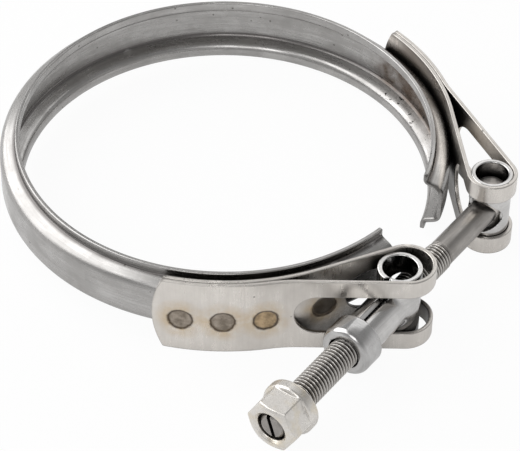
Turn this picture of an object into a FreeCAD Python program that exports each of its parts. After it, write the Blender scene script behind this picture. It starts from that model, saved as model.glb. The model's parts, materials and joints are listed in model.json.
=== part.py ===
import FreeCAD, Part
import math
import os

import Sketcher

# A V-band clamp, in millimetres. The origin is the middle of the ring, +Z is the ring's axis, and
# the clamp's bolt runs along -Y beside the ring, on its +X side.

Vector = FreeCAD.Vector
Rotation = FreeCAD.Rotation
Placement = FreeCAD.Placement

os.makedirs("parts", exist_ok=True)
doc = FreeCAD.newDocument("v_band_clamp")

# ---------------------------------------------------------------- driving dimensions

SIZES = [
    # the V-retainer, one sheet bent to a ring of V section
    ("seat_radius", 55.3, "inner face of the toes"),
    ("groove_depth", 4.3, "toe face to the inside of the base, radially"),
    ("groove_base", 9.8, "height of the groove at its base"),
    ("groove_angle", 20.0, "slope of each groove side off the ring's plane"),
    ("retainer_sheet", 1.2, "sheet thickness"),
    ("retainer_height", 19.0, "toe tip to toe tip"),
    ("base_corner", 2.6, "outer radius between base and side"),
    ("toe_bend", 1.9, "outer radius between side and toe"),
    ("edge_round", 0.25, "worn edge of the toe tips"),
    ("retainer_bolt_angle", 17.0, "angle of the end beside the bolt trunnion"),
    ("retainer_nut_angle", -8.0, "angle of the end beside the nut trunnion"),
    # the two loop straps, each one folded strip
    ("strap_sheet", 1.1, "sheet thickness"),
    ("strap_width", 23.2, "strip width"),
    ("leaf_gap", 0.1, "air between the two leaves"),
    ("leaf_bend", 40.0, "radius where the outer leaf turns off the ring"),
    ("slot_width", 12.5, "bolt slot across the strip"),
    ("outer_slot_reach", 28.5, "loop centre to the end of the slot, outer leaf"),
    ("inner_slot_reach", 14.0, "loop centre to the end of the slot, inner leaf"),
    ("strap_end_round", 25.0, "radius of the strip's rounded end"),
    ("bolt_strap_angle", 79.0, "angle of the bolt side strap's tip"),
    ("bolt_leaf_angle", 54.0, "angle where its outer leaf turns off the ring"),
    ("nut_strap_angle", -71.0, "angle of the nut side strap's tip"),
    ("nut_leaf_angle", -43.5, "angle where its outer leaf turns off the ring"),
    ("weld_diameter", 6.2, "spot weld print"),
    ("weld_depth", 0.25, "depth of the print"),
    ("weld_margin_angle", 6.8, "strip tip to the first weld, in degrees"),
    ("weld_spacing_angle", 9.9, "weld to weld, in degrees"),
    ("weld_drop", 1.0, "welds below the strip's middle"),
    ("lone_weld_angle", 1.2, "inner leaf's first touch on the ring to its own weld, in degrees"),
    ("lone_weld_drop", 1.6, "that weld below the strip's middle"),
    ("nugget_diameter", 4.0, "metal that joins the leaves under a print"),
    # where the bolt and the two trunnions stand
    ("bolt_standoff", 7.2, "ring's base to the bolt's axis, radially"),
    ("bolt_pivot", 25.8, "y of the bolt trunnion's axis"),
    ("nut_pivot", -18.2, "y of the nut trunnion's axis"),
    ("loop_shift_x", 1.38, "nut side loop centre from its trunnion, x"),
    ("loop_shift_y", 1.45, "nut side loop centre from its trunnion, y"),
    ("loop_clearance", 0.08, "bolt barrel to its loop, radially"),
    ("nut_loop_clearance", 0.47, "nut barrel to its loop, radially"),
    # the bolt trunnion, a rolled barrel
    ("bolt_barrel", 11.1, "outer diameter"),
    ("bolt_barrel_wall", 1.2, "wall"),
    ("bolt_barrel_inset", 0.3, "strap edge to the barrel's end"),
    ("barrel_window", 10.4, "diameter of the window that the shank leaves by"),
    ("window_inset", 1.5, "barrel's axis to the window's side edges"),
    # the T bolt
    ("head_clearance", 0.1, "cross head to the barrel's bore, radially"),
    ("head_inset", 3.8, "barrel end to the end of the cross head"),
    ("head_round", 1.6, "rounding of its ends"),
    ("shank", 7.3, "plain shank diameter"),
    ("thread", 7.94, "major diameter of the thread"),
    ("thread_start", 23.6, "bolt pivot to the first thread"),
    ("bolt_reach", 99.8, "bolt pivot to the bolt's end"),
    ("bolt_chamfer", 1.1, "chamfer at the end"),
    ("thread_lead", 0.3, "chamfer where the thread starts"),
    ("driver_slot", 1.3, "width of the screwdriver slot"),
    ("driver_slot_depth", 1.6, "its depth"),
    ("driver_slot_angle", 108.0, "its direction, from the +X side toward +Z"),
    # the nut trunnion, a rolled barrel with a sleeve for the bolt
    ("nut_barrel", 11.6, "outer diameter"),
    ("nut_barrel_wall", 1.3, "wall"),
    ("nut_barrel_inset", 0.9, "strap edge to the barrel's end"),
    ("sleeve", 10.8, "outer diameter of the sleeve"),
    ("sleeve_clearance", 0.33, "bolt to sleeve, radially"),
    ("rear_window", 10.0, "opening in the barrel's back"),
    ("seam", 0.25, "width of the seams"),
    ("seam_groove", 1.5, "width of the groove along the sleeve's seam"),
    ("seam_groove_depth", 0.6, "its depth"),
    # the collar on the sleeve, which the nut pulls on
    ("collar", 14.0, "outer diameter"),
    ("collar_length", 7.2, "length"),
    ("collar_face", 2.0, "thickness of its front wall"),
    ("collar_front", 24.8, "nut pivot to its front face"),
    ("collar_front_round", 1.6, "rounding of its front rim"),
    ("collar_back_round", 0.6, "rounding of its back rim"),
    # the lock nut
    ("nut_hex", 12.7, "across flats"),
    ("nut_flange", 14.8, "flange diameter"),
    ("nut_flange_height", 3.2, "flange height"),
    ("nut_flange_bevel", 0.5, "bevel of the flange toward the hexagon"),
    ("nut_height", 10.5, "overall height"),
    ("nut_nose", 10.9, "diameter of the flat on the nose"),
    ("nut_nose_angle", 30.0, "slope of the nose's bevel"),
    ("nut_bore_chamfer", 0.8, "chamfer of the bore at both ends"),
    ("nut_overhang", 0.7, "nose of the nut past the bolt's end"),
    ("nut_clearance", 0.05, "bolt to nut, radially"),
    ("nut_turn_angle", 0.0, "angle of one corner of the hexagon above the +X side"),
]


class Size:
    """A number together with the spreadsheet expression that yields it."""

    def __init__(self, value, text):
        self.value = float(value)
        self.text = text

    @staticmethod
    def of(item):
        return item if isinstance(item, Size) else Size(item, repr(float(item)))

    def _join(self, other, sign, value):
        return Size(value, f"({self.text} {sign} {other.text})")

    def __add__(self, other):
        other = Size.of(other)
        return self._join(other, "+", self.value + other.value)

    def __sub__(self, other):
        other = Size.of(other)
        return self._join(other, "-", self.value - other.value)

    def __mul__(self, other):
        other = Size.of(other)
        return self._join(other, "*", self.value * other.value)

    def __truediv__(self, other):
        other = Size.of(other)
        return self._join(other, "/", self.value / other.value)

    def __rsub__(self, other):
        return Size.of(other) - self

    def __neg__(self):
        return Size(-self.value, f"(0 - {self.text})")

    __radd__ = __add__
    __rmul__ = __mul__


def sin(angle):
    angle = Size.of(angle)
    return Size(math.sin(math.radians(angle.value)), f"sin({angle.text})")


def cos(angle):
    angle = Size.of(angle)
    return Size(math.cos(math.radians(angle.value)), f"cos({angle.text})")


def tan(angle):
    angle = Size.of(angle)
    return Size(math.tan(math.radians(angle.value)), f"tan({angle.text})")


def root(size):
    return Size(math.sqrt(size.value), f"sqrt({size.text})")


def arc_sine(ratio):
    return Size(math.degrees(math.asin(ratio.value)), f"(asin({ratio.text}) / 1deg)")


def heading(x, y):
    """Angle of the direction (x, y) in degrees."""
    return Size(math.degrees(math.atan2(y.value, x.value)), f"(atan2({y.text}; {x.text}) / 1deg)")


sheet = doc.addObject("Spreadsheet::Sheet", "Sizes")
for row, (alias, value, note) in enumerate(SIZES, start=1):
    sheet.set(f"A{row}", alias)
    sheet.set(f"B{row}", str(value))
    sheet.setAlias(f"B{row}", alias)
    sheet.set(f"C{row}", note)
doc.recompute()


def size(alias):
    return Size(sheet.get(alias), f"Sizes.{alias}")


# sizes that several pieces share
base_radius = size("seat_radius") + size("groove_depth") + size("retainer_sheet")
inner_leaf_back = base_radius + size("strap_sheet")
outer_leaf_face = inner_leaf_back + size("leaf_gap")
outer_leaf_back = outer_leaf_face + size("strap_sheet")
bolt_loop_inside = size("bolt_barrel") / 2 + size("loop_clearance")
nut_loop_inside = size("nut_barrel") / 2 + size("nut_loop_clearance")
sleeve_bore = size("thread") + size("sleeve_clearance") * 2
bolt_line = base_radius + size("bolt_standoff")
bolt_end = size("bolt_pivot") - size("bolt_reach")
bolt_barrel_height = size("strap_width") - size("bolt_barrel_inset") * 2
nut_barrel_height = size("strap_width") - size("nut_barrel_inset") * 2

# ---------------------------------------------------------------- drawing helpers


def bind(target, path, item):
    """Sets a property, or a placement's coordinate, to a size and keeps it tied to the sheet."""
    item = Size.of(item)
    if "." not in path and "[" not in path:
        setattr(target, path, item.value)
    target.setExpression(path, item.text)


def new_body(label):
    body = doc.addObject("PartDesign::Body", label)
    body.Label = label
    return body


def new_sketch(body, name, role, out=None, turn=None):
    """A sketch on one of the body's origin planes, shifted along the plane's normal and turned.

    The turn is about the body's Z axis: on an upright plane that is the sketch's own Y axis."""
    sketch = body.newObject("Sketcher::SketchObject", name)
    plane = next(item for item in body.Origin.OriginFeatures if item.Role == role)
    sketch.AttachmentSupport = (plane, [""])
    sketch.MapMode = "FlatFace"
    axis = Vector(0, 0, 1) if role == "XY_Plane" else Vector(0, 1, 0)
    angle = Size.of(turn).value if turn is not None else 0
    sketch.AttachmentOffset = Placement(Vector(0, 0, 0), Rotation(axis, angle))
    if out is not None:
        bind(sketch, "AttachmentOffset.Base.z", out)
    if turn is not None:
        bind(sketch, "AttachmentOffset.Rotation.Angle", turn)
    return sketch


def pin_point(sketch, index, end, x, y):
    """Fixes an end of a sketch element at (x, y), each a size."""
    for kind, item in (("DistanceX", Size.of(x)), ("DistanceY", Size.of(y))):
        place = sketch.addConstraint(Sketcher.Constraint(kind, -1, 1, index, end, item.value))
        sketch.setExpression(f"Constraints[{place}]", item.text)


def set_radius(sketch, index, radius):
    place = sketch.addConstraint(Sketcher.Constraint("Radius", index, radius.value))
    sketch.setExpression(f"Constraints[{place}]", radius.text)


def polygon(sketch, corners):
    """A closed outline through the corners, each fixed by its own two sizes."""
    corners = [(Size.of(x), Size.of(y)) for x, y in corners]
    first, count = len(sketch.Geometry), len(corners)
    for index, (x, y) in enumerate(corners):
        next_x, next_y = corners[(index + 1) % count]
        start = Vector(x.value, y.value, 0)
        sketch.addGeometry(Part.LineSegment(start, Vector(next_x.value, next_y.value, 0)), False)
    for index, (x, y) in enumerate(corners):
        line, other = first + index, first + (index + 1) % count
        sketch.addConstraint(Sketcher.Constraint("Coincident", line, 2, other, 1))
        pin_point(sketch, line, 1, x, y)


def circle(sketch, radius, x=0, y=0):
    x, y, radius = Size.of(x), Size.of(y), Size.of(radius)
    middle = Vector(x.value, y.value, 0)
    index = sketch.addGeometry(Part.Circle(middle, Vector(0, 0, 1), radius.value), False)
    pin_point(sketch, index, 3, x, y)
    set_radius(sketch, index, radius)


def slot_outline(sketch, half_width, reach):
    """A slot along the sketch's X: square at the origin, with a round end that touches x = reach."""
    half, reach = Size.of(half_width), Size.of(reach)
    sense = 1 if reach.value > 0 else -1
    centre = reach - half * sense
    far, wide = centre.value, half.value
    points = [Vector(0, wide, 0), Vector(far, wide, 0), Vector(far, -wide, 0), Vector(0, -wide, 0)]
    for start, end in ((0, 1), (3, 2), (3, 0)):
        sketch.addGeometry(Part.LineSegment(points[start], points[end]), False)
    start_angle = -math.pi / 2 * sense
    full = Part.Circle(Vector(far, 0, 0), Vector(0, 0, 1), wide)
    arc = sketch.addGeometry(Part.ArcOfCircle(full, start_angle, start_angle + math.pi), False)
    top, bottom = (2, 1) if sense > 0 else (1, 2)
    sketch.addConstraint(Sketcher.Constraint("Tangent", 0, 2, arc, top))
    sketch.addConstraint(Sketcher.Constraint("Tangent", 1, 2, arc, bottom))
    sketch.addConstraint(Sketcher.Constraint("Coincident", 2, 1, 1, 1))
    sketch.addConstraint(Sketcher.Constraint("Coincident", 2, 2, 0, 1))
    pin_point(sketch, 0, 1, 0, half)
    pin_point(sketch, 1, 1, 0, -half)
    pin_point(sketch, arc, 3, centre, 0)
    set_radius(sketch, arc, half)


def finished(body, feature):
    body.Tip = feature
    doc.recompute()
    return feature


def pad(body, sketch, length, symmetric=False, reversed_way=False):
    feature = body.newObject("PartDesign::Pad", sketch.Name + "_pad")
    feature.Profile = sketch
    feature.SideType = "Symmetric" if symmetric else "One side"
    feature.Reversed = reversed_way
    bind(feature, "Length", length)
    return finished(body, feature)


def pocket(body, sketch, length, symmetric=False, reversed_way=False):
    """Cuts the sketch out of the body, and stops if nothing was cut."""
    before = body.Shape.Volume
    feature = body.newObject("PartDesign::Pocket", sketch.Name + "_pocket")
    feature.Profile = sketch
    feature.SideType = "Symmetric" if symmetric else "One side"
    feature.Reversed = reversed_way
    bind(feature, "Length", length)
    finished(body, feature)
    if not body.Shape.Volume < before:
        raise RuntimeError(f"{feature.Name} cuts nothing")
    return feature


def revolve(body, sketch, angle):
    feature = body.newObject("PartDesign::Revolution", sketch.Name + "_revolution")
    feature.Profile = sketch
    feature.ReferenceAxis = (sketch, ["V_Axis"])
    bind(feature, "Angle", angle)
    return finished(body, feature)


def polar_copies(body, features, spacing, count, toward_minus):
    """Repeats features about the ring's axis, at a spacing in degrees."""
    pattern = body.newObject("PartDesign::PolarPattern", features[0].Name + "_row")
    pattern.Originals = features
    axis = next(item for item in body.Origin.OriginFeatures if item.Role == "Z_Axis")
    pattern.Axis = (axis, [""])
    pattern.Mode = "Spacing"
    pattern.Reversed = toward_minus
    bind(pattern, "Offset", spacing)
    pattern.Occurrences = count
    return finished(body, pattern)


def edges_where(body, test):
    shape = body.Shape
    return [f"Edge{n}" for n, edge in enumerate(shape.Edges, start=1) if test(edge)]


def dress(body, kind, name, test, amount):
    """A fillet or a chamfer along every edge that passes the test."""
    names = edges_where(body, test)
    if not names:
        raise RuntimeError(f"{name} finds no edge")
    base = body.Tip
    feature = body.newObject(f"PartDesign::{kind}", name)
    feature.Base = (base, names)
    bind(feature, "Radius" if kind == "Fillet" else "Size", amount)
    return finished(body, feature)


def ring_edge(radius, height=None, axis="z", tolerance=1e-3):
    """A test for circular edges about the body's Z or Y axis, of one radius, at one height."""
    direction = Vector(0, 0, 1) if axis == "z" else Vector(0, 1, 0)

    def test(edge):
        curve = edge.Curve
        if not isinstance(curve, Part.Circle) or abs(curve.Radius - radius) > tolerance:
            return False
        if abs(abs(curve.Axis.dot(direction)) - 1) > tolerance:
            return False
        return height is None or abs(curve.Center.dot(direction) - height) < tolerance

    return test


# ---------------------------------------------------------------- the V-retainer


def build_v_retainer():
    """One sheet ring: a base, two sloping groove sides and toes that stand along the axis."""
    body = new_body("v_retainer")
    wall = size("retainer_sheet")
    slope = tan(size("groove_angle"))
    seat = size("seat_radius")
    tip = size("retainer_height") / 2
    floor_radius = seat + size("groove_depth")
    floor_half = size("groove_base") / 2
    inner_bend = floor_half + size("groove_depth") * slope
    skin = wall / cos(size("groove_angle"))
    shoulder = floor_half - wall * slope + skin
    outer_bend = inner_bend - wall * slope + skin
    upper = [
        (base_radius, shoulder),
        (seat + wall, outer_bend),
        (seat + wall, tip),
        (seat, tip),
        (seat, inner_bend),
        (floor_radius, floor_half),
    ]
    lower = [(x, -y) for x, y in reversed(upper)]
    section = new_sketch(body, "retainer_section", "XZ_Plane")
    polygon(section, upper + lower)
    revolve(body, section, 360 - (size("retainer_bolt_angle") - size("retainer_nut_angle")))

    bend_inside = size("base_corner") - wall
    concave = size("toe_bend") - wall
    for name, radius, height, amount in (
        ("base_corner_fillet", base_radius, shoulder, size("base_corner")),
        ("floor_corner_fillet", floor_radius, floor_half, bend_inside),
        ("toe_bend_fillet", seat, inner_bend, size("toe_bend")),
        ("toe_root_fillet", seat + wall, outer_bend, concave),
    ):
        both = [ring_edge(radius.value, sign * height.value) for sign in (1, -1)]
        dress(body, "Fillet", name, lambda edge, tests=both: any(t(edge) for t in tests), amount)
    tips = [ring_edge(r.value, s * tip.value) for r in (seat, seat + wall) for s in (1, -1)]
    dress(body, "Fillet", "tip_round", lambda edge: any(t(edge) for t in tips), size("edge_round"))
    body.Placement = Placement(Vector(0, 0, 0), Rotation(Vector(0, 0, 1), 0))
    bind(body, "Placement.Rotation.Angle", size("retainer_bolt_angle"))
    return body


# ---------------------------------------------------------------- the loop straps


class Outline:
    """A closed sketch outline, drawn as a chain of lines and arcs that run on from each other."""

    def __init__(self, sketch):
        self.sketch = sketch
        self.steps = []

    def line(self, start, end):
        points = [Vector(x, y, 0) for x, y in (start, end)]
        index = self.sketch.addGeometry(Part.LineSegment(*points), False)
        self.steps.append((index, 1, 2))
        return index

    def arc(self, centre, radius, start, end, counter_clockwise):
        angles = [math.atan2(y - centre[1], x - centre[0]) for x, y in (start, end)]
        first, last = angles if counter_clockwise else reversed(angles)
        if last <= first:
            last += 2 * math.pi
        full = Part.Circle(Vector(centre[0], centre[1], 0), Vector(0, 0, 1), radius)
        index = self.sketch.addGeometry(Part.ArcOfCircle(full, first, last), False)
        self.steps.append((index, 1, 2) if counter_clockwise else (index, 2, 1))
        return index

    def join(self, corners):
        """Joins each step to the next, tangentially except after the steps named in corners."""
        count = len(self.steps)
        for place, (index, _, end) in enumerate(self.steps):
            other, start, _ = self.steps[(place + 1) % count]
            kind = "Coincident" if index in corners or other in corners else "Tangent"
            self.sketch.addConstraint(Sketcher.Constraint(kind, index, end, other, start))


def polar(radius, angle):
    return (radius * math.cos(math.radians(angle)), radius * math.sin(math.radians(angle)))


def toward(start, distance, angle):
    step = polar(distance, angle)
    return (start[0] + step[0], start[1] + step[1])


def radial_line(sketch, angle):
    """A construction line from the origin at an angle."""
    end = polar(30, angle.value)
    index = sketch.addGeometry(Part.LineSegment(Vector(0, 0, 0), Vector(end[0], end[1], 0)), True)
    sketch.addConstraint(Sketcher.Constraint("Coincident", index, 1, -1, 1))
    pin_point(sketch, index, 2, 30 * cos(angle), 30 * sin(angle))
    return index


def leaf_headings(side, loop_x, loop_y, leaf_off, loop_inside):
    """Directions, from ring to loop, of the straight parts of the outer and the inner leaf."""
    loop_outside = loop_inside + size("strap_sheet")
    bend_x = (outer_leaf_back + size("leaf_bend")) * cos(leaf_off)
    bend_y = (outer_leaf_back + size("leaf_bend")) * sin(leaf_off)
    run_x, run_y = loop_x - bend_x, loop_y - bend_y
    lean = arc_sine((size("leaf_bend") + loop_outside) / root(run_x * run_x + run_y * run_y))
    outer = heading(run_x, run_y) + lean * side
    reach = root(loop_x * loop_x + loop_y * loop_y)
    lean = arc_sine((base_radius + loop_outside) / reach)
    inner = heading(loop_x, loop_y) - lean * side
    return outer, inner


def build_strap(label, side, strap_end, leaf_off, loop_x, loop_y, loop_inside, lone_weld=None):
    """One strip, folded round a trunnion: both leaves run back along the ring's base.

    side is +1 where the strip lies counter-clockwise of its loop and -1 where it lies clockwise."""
    body = new_body(label)
    wall = size("strap_sheet")
    bend = size("leaf_bend")
    loop_outside = loop_inside + wall
    outer_way, inner_way = leaf_headings(side, loop_x, loop_y, leaf_off, loop_inside)

    # numbers for the first drawing of the outline; its constraints hold the expressions
    ring = (0.0, 0.0)
    loop = (loop_x.value, loop_y.value)
    off = leaf_off.value
    tip = strap_end.value
    turn = polar(outer_leaf_back.value + bend.value, off)
    outer_normal = outer_way.value + 90 * side
    inner_normal = inner_way.value + 90 * side
    sketch = new_sketch(body, label + "_outline", "XY_Plane")
    outline = Outline(sketch)

    def face(ring_radius, bend_radius, loop_radius, inner_ring_radius):
        """Points along one face of the strip, from the outer leaf's tip to the inner leaf's."""
        return [
            polar(ring_radius, tip),
            polar(ring_radius, off),
            toward(turn, -bend_radius, outer_normal),
            toward(loop, loop_radius, outer_normal),
            toward(loop, -loop_radius, inner_normal),
            toward(ring, inner_ring_radius, inner_normal),
            polar(inner_ring_radius, tip),
        ]

    back = face(outer_leaf_back.value, bend.value, loop_outside.value, base_radius.value)
    front = face(
        outer_leaf_face.value, (bend + wall).value, loop_inside.value, inner_leaf_back.value
    )
    inward = side < 0
    ring_arcs, bend_arcs, loop_arcs, caps = [], [], [], []
    ring_arcs.append((outline.arc(ring, outer_leaf_back.value, back[0], back[1], inward), outer_leaf_back))
    bend_arcs.append((outline.arc(turn, bend.value, back[1], back[2], not inward), bend))
    outline.line(back[2], back[3])
    loop_arcs.append((outline.arc(loop, loop_outside.value, back[3], back[4], inward), loop_outside))
    outline.line(back[4], back[5])
    ring_arcs.append((outline.arc(ring, base_radius.value, back[5], back[6], not inward), base_radius))
    caps.append(outline.line(back[6], front[6]))
    ring_arcs.append((outline.arc(ring, inner_leaf_back.value, front[6], front[5], inward), inner_leaf_back))
    outline.line(front[5], front[4])
    loop_arcs.append((outline.arc(loop, loop_inside.value, front[4], front[3], not inward), loop_inside))
    outline.line(front[3], front[2])
    bend_arcs.append((outline.arc(turn, (bend + wall).value, front[2], front[1], inward), bend + wall))
    face_arc = outline.arc(ring, outer_leaf_face.value, front[1], front[0], not inward)
    ring_arcs.append((face_arc, outer_leaf_face))
    caps.append(outline.line(front[0], back[0]))
    outline.join(caps)
    for index, _ in ring_arcs:
        sketch.addConstraint(Sketcher.Constraint("Coincident", index, 3, -1, 1))
    pin_point(sketch, loop_arcs[0][0], 3, loop_x, loop_y)
    for arcs in (bend_arcs, loop_arcs):
        sketch.addConstraint(Sketcher.Constraint("Coincident", arcs[0][0], 3, arcs[1][0], 3))
    pin_point(
        sketch,
        bend_arcs[0][0],
        3,
        (outer_leaf_back + bend) * cos(leaf_off),
        (outer_leaf_back + bend) * sin(leaf_off),
    )
    for index, radius in ring_arcs + loop_arcs:
        set_radius(sketch, index, radius)
    end_line = radial_line(sketch, strap_end)
    for cap in caps:
        for end in (1, 2):
            sketch.addConstraint(Sketcher.Constraint("PointOnObject", cap, end, end_line))
    doc.recompute()
    pad(body, sketch, size("strap_width"), symmetric=True)

    # the bolt slot: all round the loop, then along each leaf to a round end
    loop_room = new_sketch(body, label + "_loop_slot", "XY_Plane")
    circle(loop_room, loop_outside + wall, loop_x, loop_y)
    pocket(body, loop_room, size("slot_width"), symmetric=True)
    for leaf, way, reach, sense in (
        ("outer", outer_way, size("outer_slot_reach"), -1),
        ("inner", inner_way, size("inner_slot_reach"), 1),
    ):
        # on the upright plane that lies just inside the leaf, X runs from the loop to the ring
        start = loop_inside - size("leaf_gap") / 2
        facing = way + 90 * side * -sense
        plane_turn = facing + 90
        middle_x = loop_x + start * cos(facing)
        middle_y = loop_y + start * sin(facing)
        slot = new_sketch(body, f"{label}_{leaf}_slot", "XZ_Plane", turn=plane_turn)
        bind(slot, "AttachmentOffset.Base.x", middle_x)
        bind(slot, "AttachmentOffset.Base.z", -middle_y)
        along = 1 if math.cos(math.radians(way.value + 180 - plane_turn.value)) > 0 else -1
        slot_outline(slot, size("slot_width") / 2, reach * along)
        pocket(body, slot, wall * 3, reversed_way=True)

    # the strip's rounded end, cut through both leaves
    margin = 4
    half = size("strap_width") / 2 + 1
    end_round = size("strap_end_round")
    end_cut = new_sketch(body, label + "_end", "XZ_Plane", turn=strap_end + 90)
    bind(end_cut, "AttachmentOffset.Base.x", outer_leaf_face * cos(strap_end))
    bind(end_cut, "AttachmentOffset.Base.z", -(outer_leaf_face * sin(strap_end)))
    full = Part.Circle(Vector(-end_round.value * side, 0, 0), Vector(0, 0, 1), end_round.value)
    opening = math.asin(half.value / end_round.value)
    middle = 0 if side > 0 else math.pi
    arc = end_cut.addGeometry(Part.ArcOfCircle(full, middle - opening, middle + opening), False)
    upper, lower = (2, 1) if side > 0 else (1, 2)
    bow = end_round.value * (1 - math.cos(opening)) * side
    points = [(-bow, half.value), (margin * side, half.value)]
    points += [(x, -y) for x, y in reversed(points)]
    for start, end in zip(points, points[1:]):
        end_cut.addGeometry(Part.LineSegment(Vector(*start, 0), Vector(*end, 0)), False)
    joins = ((0, upper, 1, 1), (1, 2, 2, 1), (2, 2, 3, 1), (3, 2, 0, lower))
    for first, first_end, second, second_end in joins:
        end_cut.addConstraint(Sketcher.Constraint("Coincident", first, first_end, second, second_end))
    for line in (1, 3):
        end_cut.addConstraint(Sketcher.Constraint("Horizontal", line))
    pin_point(end_cut, 1, 2, margin * side, half)
    pin_point(end_cut, 2, 2, margin * side, -half)
    pin_point(end_cut, arc, 3, end_round * -side, 0)
    set_radius(end_cut, arc, end_round)
    pocket(body, end_cut, wall * 6, symmetric=True)

    # spot welds: a nugget between the leaves and a round print on the outer one
    drop = -size("weld_drop")
    first_weld = strap_end - side * size("weld_margin_angle")
    pieces = []
    for name, depth, width in (
        ("nugget", inner_leaf_back - wall / 2, size("nugget_diameter")),
        ("print", outer_leaf_back - size("weld_depth"), size("weld_diameter")),
    ):
        spot = new_sketch(body, f"{label}_{name}", "XZ_Plane", turn=first_weld + 90)
        bind(spot, "AttachmentOffset.Base.x", depth * cos(first_weld))
        bind(spot, "AttachmentOffset.Base.z", -(depth * sin(first_weld)))
        circle(spot, width / 2, 0, drop)
        if name == "nugget":
            pieces.append(pad(body, spot, wall + size("leaf_gap")))
        else:
            pieces.append(pocket(body, spot, wall, reversed_way=True))
    polar_copies(body, pieces, size("weld_spacing_angle"), 3, toward_minus=side > 0)

    # one more print on the inner leaf, seen through the outer leaf's slot
    lone_weld = inner_way + 90 * side - side * size("lone_weld_angle")
    depth = inner_leaf_back - size("weld_depth")
    spot = new_sketch(body, label + "_lone_print", "XZ_Plane", turn=lone_weld + 90)
    bind(spot, "AttachmentOffset.Base.x", depth * cos(lone_weld))
    bind(spot, "AttachmentOffset.Base.z", -(depth * sin(lone_weld)))
    circle(spot, size("weld_diameter") / 2, 0, -size("lone_weld_drop"))
    pocket(body, spot, size("weld_depth") * 2, reversed_way=True)
    return body


# ---------------------------------------------------------------- the trunnions


def place(body, x, y):
    body.Placement = Placement(Vector(x.value, y.value, 0), Rotation())
    bind(body, "Placement.Base.x", x)
    bind(body, "Placement.Base.y", y)


def round_pad(body, name, diameter, length, out=None):
    """A round bar along -Y that starts at the plane y = -out."""
    sketch = new_sketch(body, name, "XZ_Plane", out=out)
    circle(sketch, Size.of(diameter) / 2)
    return pad(body, sketch, length)


def round_pocket(body, name, diameter, length, out=None, backward=False):
    """A round hole along -Y, or along +Y where backward, that starts at the plane y = -out."""
    sketch = new_sketch(body, name, "XZ_Plane", out=out)
    circle(sketch, Size.of(diameter) / 2)
    return pocket(body, sketch, length, reversed_way=not backward)


def barrel(body, name, diameter, height):
    """A round bar along Z, centred on the body's origin."""
    sketch = new_sketch(body, name, "XY_Plane")
    circle(sketch, Size.of(diameter) / 2)
    return pad(body, sketch, height, symmetric=True)


def barrel_bore(body, name, diameter, height):
    sketch = new_sketch(body, name, "XY_Plane")
    circle(sketch, Size.of(diameter) / 2)
    return pocket(body, sketch, height, symmetric=True)


def build_bolt_trunnion():
    """An open barrel with a window in its front, for the shank of the T bolt."""
    body = new_body("bolt_trunnion")
    outside = size("bolt_barrel")
    height = bolt_barrel_height
    barrel(body, "bolt_barrel_outside", outside, height)
    barrel_bore(body, "bolt_barrel_bore", outside - size("bolt_barrel_wall") * 2, height)
    round_pocket(body, "bolt_barrel_window", size("barrel_window"), outside, out=size("window_inset"))
    place(body, bolt_line, size("bolt_pivot"))
    return body


def build_nut_trunnion():
    """A rolled barrel with a sleeve for the bolt, seamed in the bolt's upright plane."""
    body = new_body("nut_trunnion")
    outside = size("nut_barrel")
    height = nut_barrel_height
    sleeve_end = size("collar_front") - size("collar_face")
    seam = size("seam")
    barrel(body, "nut_barrel_outside", outside, height)
    round_pad(body, "sleeve_outside", size("sleeve"), sleeve_end)
    barrel_bore(body, "nut_barrel_bore", outside - size("nut_barrel_wall") * 2, height)
    round_pocket(body, "sleeve_bore", sleeve_bore, sleeve_end)
    round_pocket(body, "rear_window", size("rear_window"), outside, backward=True)

    # the slit down the barrel's front and along the top and the bottom of the sleeve
    slit = new_sketch(body, "seam_slit", "YZ_Plane")
    inside = -(outside / 2 - size("nut_barrel_wall") * 2)
    top = height / 2 + 1
    polygon(slit, [(-sleeve_end - 1, -top), (inside, -top), (inside, top), (-sleeve_end - 1, top)])
    pocket(body, slit, seam, symmetric=True)

    # its bent edges leave a groove
    half = size("seam_groove") / 2
    deep = size("seam_groove_depth")
    skin = size("sleeve") / 2
    groove = new_sketch(body, "sleeve_groove", "XZ_Plane")
    for sign in (1, -1):
        corners = [(-half, (skin + 1) * sign), (-half, skin * sign), (0, (skin - deep) * sign)]
        corners += [(half, skin * sign), (half, (skin + 1) * sign)]
        polygon(groove, corners)
    pocket(body, groove, sleeve_end, reversed_way=True)
    face = outside / 2
    groove = new_sketch(body, "barrel_groove", "XY_Plane")
    corners = [(-half, -(face + 1)), (half, -(face + 1)), (half, -face), (0, deep - face), (-half, -face)]
    polygon(groove, corners)
    pocket(body, groove, height, symmetric=True)
    place(body, bolt_line, size("nut_pivot"))
    return body


def build_collar():
    """The turned collar pressed on the sleeve: a cup with a hole in its floor for the bolt."""
    body = new_body("nut_seat_collar")
    length = size("collar_length")
    back = size("collar_front") - length
    round_pad(body, "collar_outside", size("collar"), length, out=back)
    for name, y, amount in (
        ("collar_back_rim", back, size("collar_back_round")),
        ("collar_front_rim", size("collar_front"), size("collar_front_round")),
    ):
        dress(body, "Fillet", name, ring_edge(size("collar").value / 2, -y.value, "y"), amount)
    round_pocket(body, "collar_socket", size("sleeve"), length - size("collar_face"), out=back)
    round_pocket(body, "collar_hole", sleeve_bore, length, out=back)
    place(body, bolt_line, size("nut_pivot"))
    return body


# ---------------------------------------------------------------- the bolt and its nut


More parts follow.
